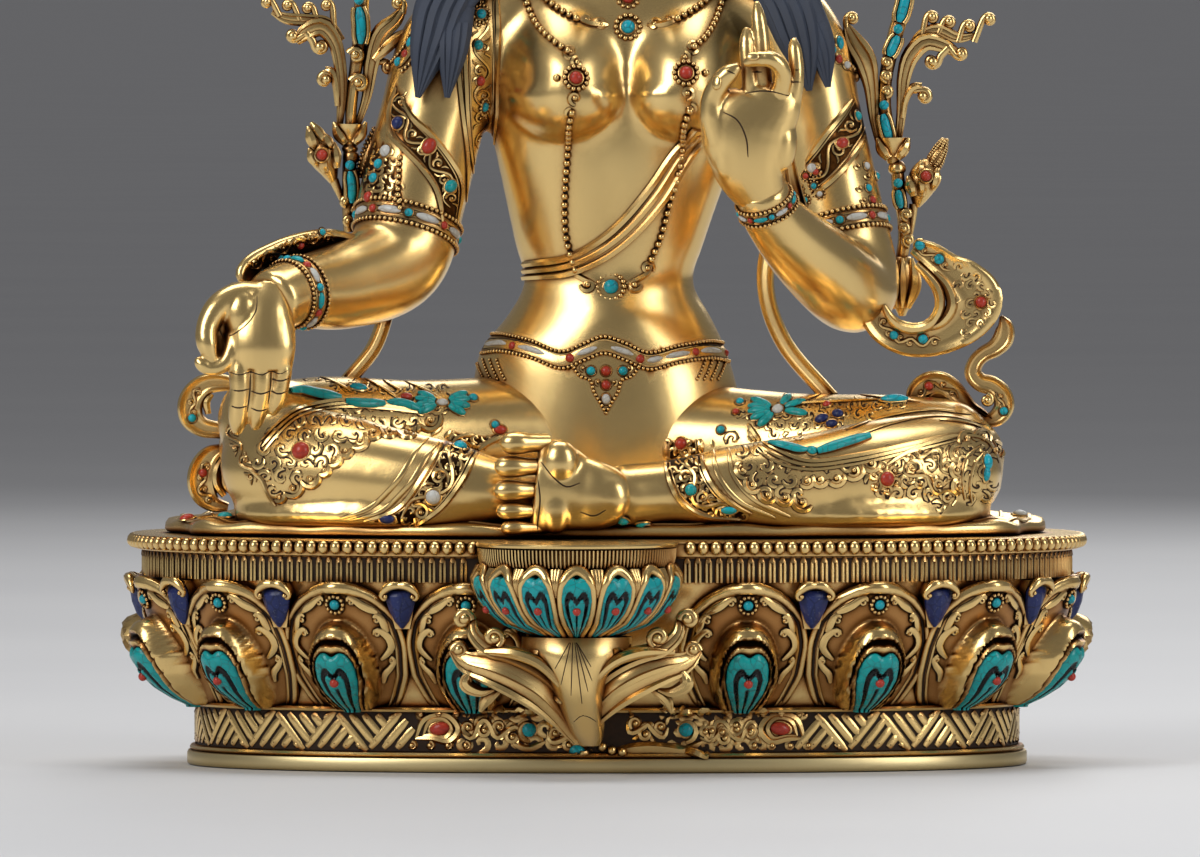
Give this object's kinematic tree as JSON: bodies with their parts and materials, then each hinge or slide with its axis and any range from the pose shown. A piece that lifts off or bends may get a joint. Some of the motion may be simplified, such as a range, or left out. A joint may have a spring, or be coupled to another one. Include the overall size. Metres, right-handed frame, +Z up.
{
  "type": "seated goddess figure on lotus throne",
  "caption": "Gilded seated goddess figure with a lowered and a raised hand, lotus sprays and set stones, on an oval lotus throne with a petal footrest.",
  "frame": {"origin": "middle of the throne's underside, between its left and right sides and level with the ground", "axes": "+Z up, the figure faces -Y, +X to the right of someone who faces it"},
  "size_m": [0.278, 0.2023, 0.3383],
  "materials": {
    "gilt": "fire-gilded cast copper, polished on the body, with red-brown patina in the hollows",
    "turquoise": "opaque polished turquoise with dark veins",
    "lapis": "opaque polished lapis with pale flecks",
    "coral": "opaque polished coral beads",
    "pearl": "shell and pearl, with a soft sheen",
    "hair_paint": "matt blue-black paint over the cast hair"
  },
  "bodies": {
    "root": {"lotus_throne": "gilt", "petal_turquoise_1": "turquoise", "petal_turquoise_2": "turquoise", "petal_turquoise_3": "turquoise", "petal_turquoise_4": "turquoise", "petal_turquoise_5": "turquoise", "petal_turquoise_6": "turquoise", "petal_turquoise_7": "turquoise", "petal_turquoise_8": "turquoise", "lapis_wedge_1": "lapis", "lapis_wedge_2": "lapis", "lapis_wedge_3": "lapis", "lapis_wedge_4": "lapis", "lapis_wedge_5": "lapis", "lapis_wedge_6": "lapis", "lapis_wedge_7": "lapis", "lapis_wedge_8": "lapis", "footrest_turquoise_1": "turquoise", "footrest_turquoise_2": "turquoise", "footrest_turquoise_3": "turquoise", "footrest_turquoise_4": "turquoise", "footrest_turquoise_5": "turquoise", "footrest_turquoise_6": "turquoise", "footrest_turquoise_7": "turquoise", "figure": "gilt", "lotus_spray_right": "gilt", "lotus_spray_left": "gilt"}
  },
  "joints": []
}
